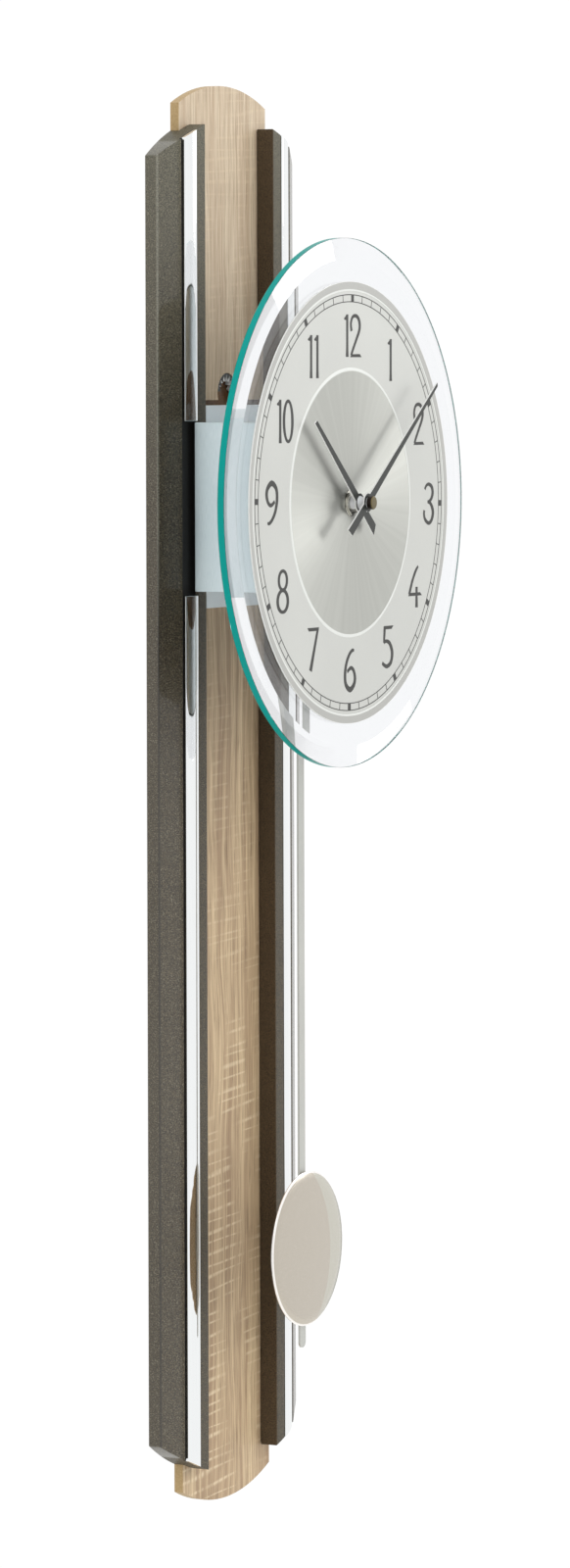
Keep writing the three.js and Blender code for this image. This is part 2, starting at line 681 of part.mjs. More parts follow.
function pendulumRod() {
    const outline = new THREE.Shape();
    outline.moveTo(-ROD.half, ROD.top);
    outline.lineTo(-ROD.half, ROD.bottom + ROD.half);
    outline.absarc(0, ROD.bottom + ROD.half, ROD.half, Math.PI, 2 * Math.PI, false);
    outline.lineTo(ROD.half, ROD.top);
    return plate(outline, ROD.front, ROD.back);
}

// A domed disc with a thin rim and a hub behind that reaches back to the rod
function bob() {
    const { radius, z, front, rimFront, rimBack, hub, back } = BOB;
    const steps = 4;
    const dome = Array.from({ length: steps + 1 }, (_, i) => {
        const r = ((radius - 1.2) * i) / steps;
        return [r, front + (rimFront - front) * (r / radius) ** 2];
    });
    const rim = [[radius, rimFront + 0.25], [radius, rimBack - 0.2], [radius - 0.2, rimBack]];
    return turned([...dome, ...rim, [hub, rimBack], [hub, back], [0, back]], 0, z, 40);
}

function bobSlide() {
    const { half, halfHeight } = BOB_SLIDE;
    const front = BOB.back + FINE;
    const width = ROD.half + FINE;
    const low = BOB.z - halfHeight;
    const high = BOB.z + halfHeight;
    const channel = block(-width, width, front - 1, ROD.back + FINE, low - 1, high + 1);
    return block(-half, half, front, BOB_SLIDE.back, low, high).subtract(channel);
}

// Assembly
add('back_board', backBoard(), LOOK.wood);
add('slat_right', slat(), LOOK.lacquer);
add('slat_left', mirrored(slat()), LOOK.lacquer);
for (const [level, low, high] of [['upper', CHROME.upperEnd, 1000], ['lower', -1000, CHROME.lowerEnd]]) {
    add(`chrome_strip_${level}_right`, chromeStrip(low, high), LOOK.chrome);
    add(`chrome_strip_${level}_left`, mirrored(chromeStrip(low, high)), LOOK.chrome);
}
add('sawtooth_hanger', sawtoothHanger(), LOOK.steel);
add('mounting_frame', mountingFrame(), LOOK.silver);
FRAME_SCREWS.forEach(([x, z], i) => add(`frame_screw_${i + 1}`, frameScrew(x, z), LOOK.steel));
add('housing_shell', housingShell(), LOOK.silver);

add('glass_disc', glassDisc(), LOOK.glass);
const dialBore = BUSHING.radius + GAP;
add('dial_plate', tube(DIAL.radius, dialBore, DIAL.front, DIAL.back, 0, 0, 64), LOOK.dial);
add('dial_centre_disc', tube(CENTRE.radius, dialBore, CENTRE.front, CENTRE.back, 0, 0, 48), LOOK.brushed);
add('fixing_washer', tube(WASHER.radius, BUSHING.radius + FINE, WASHER.front, WASHER.back), LOOK.nickel);
add('fixing_nut', hexRing(NUT.radius, BUSHING.radius + FINE, NUT.front, NUT.back), LOOK.nickel);
add('threaded_bushing', bushing(), LOOK.nickel);
add('hour_hand', hand(HOUR_HAND, HOUR_TUBE.radius + 0.05), LOOK.hand);
add('minute_hand', hand(MINUTE_HAND, MINUTE_TUBE.radius + 0.05), LOOK.hand);
add('cap_nut', capNut(), LOOK.bronze);

add('movement_front_case', frontCase(), LOOK.black);
add('movement_rear_case', rearCase(), LOOK.black);
add('train_bridge', trainBridge(), LOOK.white);
add('centre_wheel', centreWheel(), LOOK.white);
add('hour_wheel', hourWheel(), LOOK.white);
add('motion_wheel', motionWheel(), LOOK.white);
add('setting_knob', settingKnob(), LOOK.white);
add('third_wheel', thirdWheel(), LOOK.white);
add('seconds_wheel', secondsWheel(), LOOK.white);
add('intermediate_wheel', intermediateWheel(), LOOK.white);
add('motor_rotor', rotor(), LOOK.steel);
add('motor_stator', stator(), LOOK.steel);
add('motor_coil', motorCoil(), LOOK.copper);
for (const [name, { x0, x1, front, back, z0, z1 }, look] of [
    ['circuit_board', CIRCUIT, LOOK.board],
    ['quartz_crystal', CRYSTAL, LOOK.steel],
]) {
    add(name, block(x0, x1, front, back, z0, z1), look);
}
add('pendulum_coil', driveCoil(), LOOK.copper);
add('battery', battery(), LOOK.battery);
add('battery_contact_plus', batteryContact(1), LOOK.nickel);
add('battery_contact_minus', batteryContact(-1), LOOK.nickel);

add('pivot_pin', pivotPin(), LOOK.steel);
add('pendulum_hanger', pendulumHanger(), LOOK.black);
add('pendulum_magnet', pin(MAGNET.radius, MAGNET.front, MAGNET.back, 0, MAGNET.z, 24), LOOK.steel);
add('pendulum_rod', pendulumRod(), LOOK.silver);
add('pendulum_bob', bob(), LOOK.champagne);
add('bob_slide', bobSlide(), LOOK.silver);

export default clock;
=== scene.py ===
import math

import bmesh
import bpy
from mathutils import Matrix, Vector


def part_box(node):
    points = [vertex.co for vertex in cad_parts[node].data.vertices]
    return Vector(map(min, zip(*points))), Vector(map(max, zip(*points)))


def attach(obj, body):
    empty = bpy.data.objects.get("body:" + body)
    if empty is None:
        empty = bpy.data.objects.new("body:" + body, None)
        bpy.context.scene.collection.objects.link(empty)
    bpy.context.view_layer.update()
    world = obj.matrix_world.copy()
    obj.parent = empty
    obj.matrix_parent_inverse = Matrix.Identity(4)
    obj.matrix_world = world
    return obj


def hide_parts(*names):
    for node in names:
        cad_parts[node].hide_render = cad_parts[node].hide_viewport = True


# A pendulum wall clock: tall oak decor board between two anthracite slats, chrome strips, a silver
# housing that carries a bevelled glass with the dial on its front, and a champagne pendulum.

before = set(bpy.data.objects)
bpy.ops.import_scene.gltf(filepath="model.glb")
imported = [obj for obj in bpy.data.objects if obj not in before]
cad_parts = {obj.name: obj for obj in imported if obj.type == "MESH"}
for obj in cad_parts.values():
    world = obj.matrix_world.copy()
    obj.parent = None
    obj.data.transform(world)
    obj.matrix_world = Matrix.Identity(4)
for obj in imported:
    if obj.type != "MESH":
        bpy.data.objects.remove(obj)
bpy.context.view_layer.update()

MM = 0.001

# The span that most noise values fall in
NOISE_SPAN = (0.3, 0.7)

# The dial's minute track, in mm: its circles' radii, its lines' width and its hour blocks' size
TRACK_INNER = 91.0
TRACK_OUTER = 94.2
TRACK_LINE = 0.42
BLOCK = 2.7

# The ring at the dial's edge, in mm: the radii where its line and its band start, its rim's width, and how far
# each of the three stands above the dial
RING_INNER = 95.9
RING_STEP = 96.8
RING_RIM = 0.2
LINE_PROUD = 0.16
BAND_PROUD = 0.24
RIM_PROUD = 0.3
RING_CHAMFER = 0.05

# The dial's other layers, in mm: the line round the centre disc and how far the disc ends inside it, the print's
# height, its depth in the dial and the step from one stroke to the next, the back's coat and its dark edge
OUTLINE_WIDTH = 1.5
DISC_TRIM = 0.3
PRINT_THICK = 0.05
PRINT_SUNK = 0.02
LAYER_STEP = 0.004
COAT_THICK = 0.11
BACK_EDGE = (1.2, 0.2)

# How far the minute track is turned, and a factor on the width of the figures' strokes
PRINT_TURN = math.radians(1.4)
PEN = 1.35

# The board's decor, in mm: heights between which painted shade darkens it towards the bottom and its grain
# grows, heights between which the saw marks grow, and how these run
DECOR_SHADE_AND_GRAIN_FADE = (60, -180)
SAW_FADE = (-230, -340)
SAW_PITCH = 5.2
SAW_SLOPE = -0.055

# The painted shade in the board's cut-out behind the housing, in mm: its middle's height, and soft limits across
# and up
CUT_OUT_Z = -50
CUT_OUT_ACROSS = (33, 35)
CUT_OUT_UP = (70, 80)

# The slats, in mm: the recess for the chrome strip, the depth of the ridge beside the side face, and the
# heights between which painted shade darkens the lacquer and the ridge's painted highlight
RECESS = (41.4, 52.9)
RIDGE_Y = -6.1
LACQUER_SHADE_FADE = (170, -60)
RIDGE_HIGHLIGHT_FADE = (-60, -120)

# The glass: sizes in mm, then its colour and density along a way of one metre
BEVEL_WIDTH = 9.5
BEVEL_DEPTH = 1.3
GLASS_HOLE = 4.3
GLASS_COLOUR = (0.0, 0.79, 0.77, 1)
GLASS_DENSITY = 2.5

# The battery's copper band and bare tip, in mm from its plus end
BATTERY_BAND = 16
BATTERY_TIP = 1.6

# The bob, in mm: its rim with a painted highlight, its face's dome, its hub, and the circle that bounds its
# crescent of painted reflection
BOB_RIM = 0.9
BOB_DOME = 1.5
BOB_HUB = 12
REFLECTION_MIDDLE = (-28.4, 0, -1.8)
REFLECTION_RADIUS = 48.3

# The room's light, as two parts that add up: from and to which height of a direction, and the strength at each
UNDERFOOT = (-1.0, -0.3, 0.6, 1.03)
OVERHEAD = (0.2, 1.0, 0.0, 0.3)

# The floor and the camera, in m, with the camera's lens in mm
FLOOR_RADIUS = 2.3
FLOOR_HEIGHT = -1.25
CAMERA_PLACE = Vector((-2.4074, -1.2783, 0.0095))
CAMERA_FORWARD = Vector((0.8887, 0.4585, 0.0))
CAMERA_ROLL = math.radians(-0.174)
CAMERA_LENS = 136.4
CAMERA_SHIFT = -0.26875


def tint(red, green, blue):
    """A screen colour of 0 to 255 as a linear colour."""
    shares = [value / 255 for value in (red, green, blue)]
    return (*[c / 12.92 if c <= 0.04 else ((c + 0.055) / 1.055) ** 2.4 for c in shares], 1.0)


# ---------------------------------------------------------------- materials

class Shader:
    """One material's node tree, with short calls for the nodes that this scene uses."""

    def __init__(self, name):
        self.material = bpy.data.materials.new(name)
        self.material.use_nodes = True
        self.tree = self.material.node_tree
        self.surface = self.tree.nodes["Principled BSDF"]
        self.output = self.tree.nodes["Material Output"]
        self.object_point = self.add("ShaderNodeTexCoord").outputs["Object"]

    def add(self, kind, **settings):
        node = self.tree.nodes.new(kind)
        for key, value in settings.items():
            setattr(node, key, value)
        return node

    def feed(self, socket, value):
        if isinstance(value, bpy.types.NodeSocket):
            self.tree.links.new(value, socket)
        else:
            socket.default_value = value

    def set(self, **values):
        """Sets the shader's own sockets: base_color=..., metallic=..."""
        names = {s.name.lower().replace(" ", "_"): s for s in self.surface.inputs}
        for key, value in values.items():
            self.feed(names[key], value)

    def vector(self, operation, a, b=(0, 0, 0)):
        node = self.add("ShaderNodeVectorMath", operation=operation)
        self.feed(node.inputs[0], a)
        self.feed(node.inputs[1], b)
        return node.outputs["Value" if operation in ("LENGTH", "DOT_PRODUCT") else "Vector"]

    def place(self, x=1.0, y=1.0, z=1.0):
        """The point on the object in mm, stretched by these factors."""
        return self.vector("MULTIPLY", self.object_point, (x / MM, y / MM, z / MM))

    def axis(self, index, where=None):
        node = self.add("ShaderNodeSeparateXYZ")
        self.feed(node.inputs[0], self.place() if where is None else where)
        return node.outputs[index]

    def normal_y(self):
        geometry = self.add("ShaderNodeNewGeometry")
        return self.axis(1, geometry.outputs["True Normal"])

    def math(self, operation, a, b=0.0):
        node = self.add("ShaderNodeMath", operation=operation)
        self.feed(node.inputs[0], a)
        self.feed(node.inputs[1], b)
        return node.outputs[0]

    def noise(self, where, scale, detail, rough=0.5, distortion=0.0):
        node = self.add("ShaderNodeTexNoise")
        self.feed(node.inputs["Vector"], where)
        node.inputs["Scale"].default_value = scale
        node.inputs["Detail"].default_value = detail
        node.inputs["Roughness"].default_value = rough
        node.inputs["Distortion"].default_value = distortion
        return node.outputs[0]

    def cells(self, where, scale):
        node = self.add("ShaderNodeTexVoronoi", feature="F1")
        self.feed(node.inputs["Vector"], where)
        node.inputs["Scale"].default_value = scale
        return node.outputs["Color"]

    def spread(self, factor, low, high, to_low=0.0, to_high=1.0):
        """The factor's span from low to high, stretched to the new span and held at its ends."""
        node = self.add("ShaderNodeMapRange")
        for socket, value in zip(node.inputs, (factor, low, high, to_low, to_high)):
            self.feed(socket, value)
        return node.outputs[0]

    def level(self, noise, to_low=0.0, to_high=1.0):
        """A noise value's usual span, stretched to the new span."""
        return self.spread(noise, *NOISE_SPAN, to_low, to_high)

    def near(self, value, middle, inner, outer):
        """1 within inner of the middle, 0 beyond outer."""
        away = self.math("ABSOLUTE", self.math("SUBTRACT", value, middle))
        return self.spread(away, inner, outer, 1.0, 0.0)

    def mix(self, factor, a, b):
        node = self.add("ShaderNodeMix", data_type="RGBA")
        self.feed(node.inputs[0], factor)
        self.feed(node.inputs[6], a)
        self.feed(node.inputs[7], b)
        return node.outputs[2]

    def relief(self, height, depth, strength=1.0):
        """Bumps of the given depth in mm."""
        node = self.add("ShaderNodeBump")
        node.inputs["Strength"].default_value = strength
        node.inputs["Distance"].default_value = depth * MM
        self.feed(node.inputs["Height"], height)
        return node.outputs[0]


def finish(name, dark, light, grain, rough, depth, cloud, stretch=(1, 1, 1), **sockets):
    """A painted, moulded or metal surface: fine speckle and slow drift in its colour, roughness and relief.

    The sizes of the speckle's grain and the drift's clouds and the relief's depth are in mm. A factor under 1
    stretches the grain along that axis.
    """
    s = Shader(name)
    fine = s.noise(s.place(*stretch), 1 / grain, 3)
    slow = s.noise(s.place(), 1 / cloud, 2)
    speck = s.level(fine)
    drift = s.level(slow)
    blend = s.math("ADD", s.math("MULTIPLY", speck, 0.65), s.math("MULTIPLY", drift, 0.35))
    s.set(
        base_color=s.mix(blend, tint(*dark), tint(*light)),
        roughness=s.spread(s.math("ADD", fine, slow), 0.7, 1.3, *rough),
        normal=s.relief(fine, depth),
        **sockets,
    )
    return s.material


def oak_board(decor_face):
    """Pale oak decor on the front of a fibreboard panel: upright grain, pores and light saw marks across it.

    The panel's edges and back are raw, with painted shade in the cut-out behind the housing. Painted shade also
    darkens the decor towards the bottom.
    """
    s = Shader("oak_board")
    wander = s.math("MULTIPLY", s.math("SUBTRACT", s.noise(s.place(0.02, 0.02, 0.008), 1, 2), 0.5), 16)
    shift = s.add("ShaderNodeCombineXYZ")
    s.feed(shift.inputs[0], wander)
    point = s.vector("ADD", s.place(), shift.outputs[0])
    height = s.axis(2)

    bands = s.noise(s.vector("MULTIPLY", point, (0.3, 0.3, 0.005)), 1, 4, 0.6, 0.6)
    fibre = s.noise(s.vector("MULTIPLY", point, (1.3, 1.3, 0.02)), 1, 5, 0.7)
    pores = s.noise(s.vector("MULTIPLY", point, (1.8, 1.8, 0.04)), 1, 3, 0.6)
    # painted shade: high is the decor's colour at the top and low its colour lower down, darker where less light
    # falls
    high = s.mix(s.spread(bands, 0.36, 0.64), tint(197, 176, 149), tint(214, 197, 170))
    low = s.mix(s.spread(bands, 0.38, 0.62), tint(164, 138, 108), tint(212, 189, 152))
    colour = s.mix(s.spread(height, *DECOR_SHADE_AND_GRAIN_FADE), high, low)
    streaks = s.math("MULTIPLY", s.spread(fibre, 0.42, 0.6), s.spread(height, *DECOR_SHADE_AND_GRAIN_FADE, 0.45, 0.6))
    colour = s.mix(streaks, colour, tint(158, 131, 103))
    dashes = s.math("MULTIPLY", s.spread(pores, 0.54, 0.62), s.spread(height, *DECOR_SHADE_AND_GRAIN_FADE, 0.4, 0.62))
    colour = s.mix(dashes, colour, tint(120, 97, 73))

    jitter = s.math("MULTIPLY", s.noise(s.place(0.008, 0.03, 0.11), 1, 2), 1.6)
    rows = s.math("ADD", s.axis(2, point), s.math("MULTIPLY", s.axis(0), SAW_SLOPE))
    phase = s.math("FRACT", s.math("ADD", s.math("MULTIPLY", rows, 1 / SAW_PITCH), jitter))
    line = s.near(phase, 0.5, 0.03, 0.16)
    sawn = s.spread(s.noise(s.place(0.035, 0.03, 0.022), 1, 2), 0.44, 0.56)
    broken = s.spread(s.noise(s.vector("MULTIPLY", point, (0.8, 0.8, 0.03)), 1, 3), 0.38, 0.56, 0.1, 1.0)
    amount = s.math("MULTIPLY", s.math("MULTIPLY", sawn, broken), s.spread(height, *SAW_FADE, 0.26, 0.66))
    colour = s.mix(s.math("MULTIPLY", line, amount), colour, tint(224, 205, 172))

    raw = s.noise(s.place(), 1.4, 3, 0.7)
    fibreboard = s.mix(s.level(raw), tint(156, 130, 86), tint(182, 156, 114))
    # painted shade: darker fibreboard (shaded) in the cut-out behind the housing
    shaded = s.mix(s.level(raw), tint(74, 48, 24), tint(122, 86, 50))
    behind_decor = s.spread(s.axis(1), decor_face + 0.15, decor_face + 0.3)
    near_middle = s.near(s.axis(0), 0.0, *CUT_OUT_ACROSS)
    near_shaft = s.near(height, CUT_OUT_Z, *CUT_OUT_UP)
    faces_front = s.spread(s.normal_y(), -0.9, -0.7, 1.0, 0.0)
    off_wall = s.spread(s.normal_y(), 0.7, 0.9, 1.0, 0.0)
    cut_out_shade = s.math("MULTIPLY", s.math("MULTIPLY", near_middle, near_shaft), off_wall)
    is_decor = s.math("MULTIPLY", faces_front, s.math("SUBTRACT", 1.0, behind_decor))
    edge = s.mix(cut_out_shade, fibreboard, shaded)
    relief = s.math("SUBTRACT", s.math("MULTIPLY", fibre, 0.5), s.spread(pores, 0.55, 0.7))
    s.set(
        base_color=s.mix(is_decor, edge, colour),
        roughness=s.level(fibre, 0.42, 0.58),
        normal=s.relief(relief, 0.06),
        specular_ior_level=0.35,
    )
    return s.material


def anthracite(slat_low, slat_high):
    """Dark lacquer with fine metal flakes: glossy on the bevels, dull in the recess under near-black painted
    shade, with painted shade and a painted brown reflection on the inner faces, painted shade towards the bottom
    and a painted highlight along the ridge.
    """
    s = Shader("anthracite_flake_lacquer")
    flakes = s.noise(s.place(), 2.0, 1, 0.8)
    glints = s.noise(s.place(), 2.2, 0)
    slow = s.noise(s.place(), 0.02, 2)
    out = s.math("ABSOLUTE", s.axis(0))
    height = s.axis(2)
    # painted shade: top is the lacquer near the top and rest the lacquer lower down, darker towards the bottom
    top = s.mix(s.spread(flakes, 0.34, 0.66), tint(46, 45, 35), tint(112, 109, 90))
    rest = s.mix(s.spread(flakes, 0.34, 0.66), tint(18, 14, 9), tint(90, 80, 61))
    colour = s.mix(s.spread(height, *LACQUER_SHADE_FADE), top, rest)
    colour = s.mix(s.spread(glints, 0.64, 0.72, 0.0, 0.4), colour, tint(164, 158, 136))
    colour = s.mix(s.level(slow, 0.0, 0.15), colour, tint(96, 90, 78))

    # painted highlight: a lighter line along the ridge beside the side face, dotted by the flakes and turning to
    # painted shade lower down
    at_side = s.spread(out, slat_high - 1.2, slat_high - 0.8)
    ridge = s.math("MULTIPLY", s.near(s.axis(1), RIDGE_Y, 0.2, 0.5), at_side)
    edge = s.mix(s.spread(height, *RIDGE_HIGHLIGHT_FADE), tint(134, 132, 118), tint(44, 41, 36))
    colour = s.mix(s.math("MULTIPLY", ridge, s.spread(flakes, 0.4, 0.6, 0.3, 0.9)), colour, edge)
    # painted shade and painted reflection: the inner faces between the slats darker and brown, standing for
    # shade and the wood's reflection
    inside = s.spread(out, slat_low + 0.15, slat_low + 0.4, 1.0, 0.0)
    colour = s.mix(inside, colour, s.mix(s.level(flakes), tint(46, 36, 25), tint(96, 80, 58)))
    # painted shade: the front-facing floor of the recess near black
    past_lip = s.spread(out, RECESS[0], RECESS[0] + 0.2)
    before_bevel = s.spread(out, RECESS[1] - 0.2, RECESS[1], 1.0, 0.0)
    faces_room = s.spread(s.normal_y(), -0.8, -0.6, 1.0, 0.0)
    recess_shade = s.math("MULTIPLY", s.math("MULTIPLY", past_lip, before_bevel), faces_room)
    colour = s.mix(recess_shade, colour, s.mix(flakes, tint(14, 12, 11), tint(26, 22, 20)))
    peel = s.noise(s.place(), 0.5, 1)
    s.set(
        base_color=colour,
        metallic=0.4,
        roughness=s.level(flakes, 0.42, 0.58),
        normal=s.relief(flakes, 0.015, 0.8),
        coat_weight=s.spread(out, RECESS[1] + 1, RECESS[1] + 3, 0.0, 0.7),
        coat_roughness=0.08,
        coat_normal=s.relief(peel, 0.004),
    )
    return s.material


def chrome():
    """Bright plated foil with a slight waviness and hairline scratches along its length."""
    s = Shader("chrome_foil")
    wave = s.noise(s.place(0.05, 0.05, 0.02), 1, 2)
    hair = s.noise(s.place(6, 6, 0.05), 1, 2)
    s.set(
        base_color=s.mix(s.spread(hair, 0.6, 0.75, 0.0, 0.3), tint(238, 240, 240), tint(214, 216, 216)),
        metallic=1.0,
        roughness=s.spread(hair, 0.5, 0.75, 0.035, 0.12),
        normal=s.relief(wave, 0.02, 0.5),
    )
    return s.material


def turned_metal(name, centre, dark, light, rough, anisotropic, depth):
    """Metal brushed in circles round the centre, with faint rays."""
    s = Shader(name)
    arm = s.vector("SUBTRACT", s.object_point, tuple(centre))
    flat = s.vector("MULTIPLY", arm, (1 / MM, 0, 1 / MM))
    unit = s.vector("NORMALIZE", flat)
    rings = s.add("ShaderNodeCombineXYZ")
    for socket, value in zip(rings.inputs, (s.vector("LENGTH", flat), s.axis(0, unit), s.axis(2, unit))):
        s.feed(socket, value)
    fine = s.noise(s.vector("MULTIPLY", rings.outputs[0], (8.0, 1.5, 1.5)), 1, 4, 0.7)
    rays = s.noise(s.vector("MULTIPLY", unit, (16, 16, 16)), 1, 3)
    grooves = s.math("ADD", s.math("MULTIPLY", fine, 0.4), s.math("MULTIPLY", rays, 0.6))
    s.set(
        base_color=s.mix(s.spread(grooves, 0.35, 0.65), tint(*dark), tint(*light)),
        metallic=1.0,
        roughness=s.level(fine, *rough),
        anisotropic=anisotropic,
        normal=s.relief(fine, depth),
        tangent=s.vector("NORMALIZE", s.vector("CROSS_PRODUCT", flat, (0, 1, 0))),
    )
    return s.material


def hand_metal():
    """Hands stamped from sheet: matt anthracite faces and bright cut edges."""
    s = Shader("hand_metal")
    fine = s.noise(s.place(), 4, 3)
    face = s.mix(s.level(fine), tint(34, 36, 34), tint(48, 50, 47))
    cut = s.mix(s.level(fine), tint(226, 227, 226), tint(244, 244, 242))
    is_face = s.spread(s.math("ABSOLUTE", s.normal_y()), 0.8, 0.9)
    s.set(
        base_color=s.mix(is_face, cut, face),
        metallic=s.spread(is_face, 0, 1, 0.3, 0.0),
        roughness=s.level(fine, 0.3, 0.42),
        specular_ior_level=0.25,
        normal=s.relief(fine, 0.006),
    )
    return s.material


def bronze_nut():
    """A dark nut with a bronze front face."""
    s = Shader("bronze_nut")
    fine = s.noise(s.place(), 3, 3)
    face = s.mix(s.level(fine), tint(80, 70, 44), tint(108, 96, 62))
    side = s.mix(s.level(fine), tint(22, 16, 14), tint(44, 34, 28))
    s.set(
        base_color=s.mix(s.spread(s.math("ABSOLUTE", s.normal_y()), 0.5, 0.6), side, face),
        metallic=0.6,
        roughness=s.level(fine, 0.28, 0.38),
        normal=s.relief(fine, 0.01),
    )
    return s.material


def clear_glass():
    """Float glass: clear through its faces, teal on its rim, faintly teal along a long way through it."""
    s = Shader("float_glass")
    smear = s.noise(s.place(0.04, 0.04, 0.04), 1, 3)
    on_rim = s.spread(s.math("ABSOLUTE", s.normal_y()), 0.1, 0.2, 1.0, 0.0)
    s.set(
        base_color=s.mix(on_rim, tint(244, 244, 246), tint(0, 146, 138)),
        roughness=s.spread(on_rim, 0, 1, 0.0, 0.3),
        ior=1.5,
        transmission_weight=s.spread(on_rim, 0, 1, 1.0, 0.12),
        specular_ior_level=s.spread(on_rim, 0, 1, 0.5, 0.05),
        normal=s.relief(smear, 0.003, 0.3),
    )
    body = s.add("ShaderNodeVolumeAbsorption")
    body.inputs["Color"].default_value = GLASS_COLOUR
    body.inputs["Density"].default_value = GLASS_DENSITY
    s.tree.links.new(body.outputs[0], s.output.inputs["Volume"])
    return s.material


def battery_sleeve(plus_x):
    """A printed sleeve: a dark body and a copper-coloured band towards the plus end."""
    s = Shader("battery_sleeve_print")
    fine = s.noise(s.place(), 2, 3)
    along = s.axis(0)
    colour = s.mix(fine, tint(36, 37, 40), tint(48, 50, 54))
    band = s.mix(fine, tint(176, 116, 66), tint(198, 140, 88))
    tip = s.mix(fine, tint(190, 190, 186), tint(216, 216, 212))
    for width, paint in ((BATTERY_BAND, band), (BATTERY_TIP, tip)):
        colour = s.mix(s.spread(along, plus_x - width, plus_x - width + 0.2), colour, paint)
    s.set(
        base_color=colour,
        metallic=0.4,
        roughness=s.level(fine, 0.25, 0.35),
        normal=s.relief(fine, 0.01),
    )
    return s.material


def printed_board():
    """Green solder resist, lighter over the tracks."""
    s = Shader("printed_board")
    blocks = s.cells(s.place(), 0.35)
    tracks = s.spread(s.noise(s.place(0.4, 0.4, 0.4), 1, 1), 0.49, 0.51)
    colour = s.mix(tracks, tint(24, 78, 50), tint(38, 104, 66))
    colour = s.mix(0.12, colour, blocks)
    s.set(base_color=colour, roughness=s.spread(tracks, 0, 1, 0.3, 0.4), normal=s.relief(tracks, 0.03))
    return s.material


def wound_copper():
    """Enamelled wire wound in fine turns."""
    s = Shader("wound_copper")
    point = s.place()
    turns = s.add("ShaderNodeTexWave", wave_type="BANDS", bands_direction="DIAGONAL")
    s.feed(turns.inputs["Vector"], point)
    turns.inputs["Scale"].default_value = 1.6
    turns.inputs["Distortion"].default_value = 0.6
    wire = turns.outputs[1]
    s.set(
        base_color=s.mix(wire, tint(120, 58, 28), tint(206, 120, 66)),
        metallic=0.9,
        roughness=s.spread(wire, 0, 1, 0.35, 0.25),
        normal=s.relief(wire, 0.08),
    )
    return s.material


# ---------------------------------------------------------------- shapes

def piece(name, mesh, material, body, replaces=()):
    """A finished piece: it rides on the body, takes the slot's finish and may stand for CAD nodes."""
    made = bpy.data.objects.new(name, mesh)
    bpy.context.scene.collection.objects.link(made)
    mesh.materials.append(material)
    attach(made, body)
    if replaces:
        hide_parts(*replaces)


def to_mesh(bm, name, sharp):
    """The mesh, smooth apart from edges sharper than the given angle in degrees."""
    bmesh.ops.remove_doubles(bm, verts=bm.verts, dist=1e-7)
    bmesh.ops.recalc_face_normals(bm, faces=bm.faces)
    mesh = bpy.data.meshes.new(name)
    bm.to_mesh(mesh)
    bm.free()
    mesh.shade_smooth()
    mesh.set_sharp_from_angle(angle=math.radians(sharp))
    return mesh


def turned(name, profile, centre, steps=192, sharp=8):
    """A solid turned about the Y axis through centre. The profile is a closed loop of radius and Y, in mm."""
    bm = bmesh.new()
    rings = []
    for radius, y in profile:
        if radius == 0:
            rings.append([bm.verts.new((centre.x, y * MM, centre.z))] * steps)
            continue
        rings.append([
            bm.verts.new((
                centre.x + radius * MM * math.cos(math.tau * i / steps),
                y * MM,
                centre.z + radius * MM * math.sin(math.tau * i / steps),
            ))
            for i in range(steps)
        ])
    for a, b in zip(rings, rings[1:] + rings[:1]):
        for i in range(steps):
            corners = list(dict.fromkeys([a[i], a[(i + 1) % steps], b[(i + 1) % steps], b[i]]))
            if len(corners) > 2:
                bm.faces.new(corners)
    return to_mesh(bm, name, sharp)


def plate(bm, outline, front, back, to_frame):
    """Adds a flat piece with this outline of (across, up) points."""
    sides = [[bm.verts.new(to_frame(x, z, y)) for x, z in outline] for y in (front, back)]
    bm.faces.new(sides[0])
    bm.faces.new(sides[1][::-1])
    for i in range(len(outline)):
        j = (i + 1) % len(outline)
        bm.faces.new([sides[0][i], sides[1][i], sides[1][j], sides[0][j]])


def curve_through(points, closed, steps=7):
    """A smooth curve through points of any length, as many short steps."""
    count = len(points)

    def at(i):
        return points[i % count] if closed else points[min(max(i, 0), count - 1)]

    path = []
    for i in range(count if closed else count - 1):
        a, b, c, d = at(i - 1), at(i), at(i + 1), at(i + 2)
        for k in range(steps):
            t = k / steps
            path.append([
                0.5 * (
                    2 * q + (r - p) * t
                    + (2 * p - 5 * q + 4 * r - s) * t * t
                    + (3 * q - p - 3 * r + s) * t ** 3
                )
                for p, q, r, s in zip(a, b, c, d)
            ])
    if not closed:
        path.append(list(points[-1]))
    return path


def stroke(bm, points, front, back, to_frame, pen=1.0, closed=False):
    """Adds a pen stroke along a smooth curve through (across, up, width) points."""
    path = curve_through(points, closed)
    count = len(path)
    rows = []
    for i, (x, z, width) in enumerate(path):
        before = path[(i - 1) % count] if closed else path[max(i - 1, 0)]
        after = path[(i + 1) % count] if closed else path[min(i + 1, count - 1)]
        along = Vector((after[0] - before[0], after[1] - before[1])).normalized()
        side = Vector((-along.y, along.x)) * width * pen / 2
        rows.append([
            bm.verts.new(to_frame(x + side.x * k, z + side.y * k, y))
            for k, y in ((1, front), (-1, front), (-1, back), (1, back))
        ])
    pairs = list(zip(rows, rows[1:] + rows[:1])) if closed else list(zip(rows, rows[1:]))
    for a, b in pairs:
        for k in range(4):
            bm.faces.new([a[k], a[(k + 1) % 4], b[(k + 1) % 4], b[k]])
    if not closed:
        bm.faces.new(rows[0])
        bm.faces.new(rows[-1][::-1])


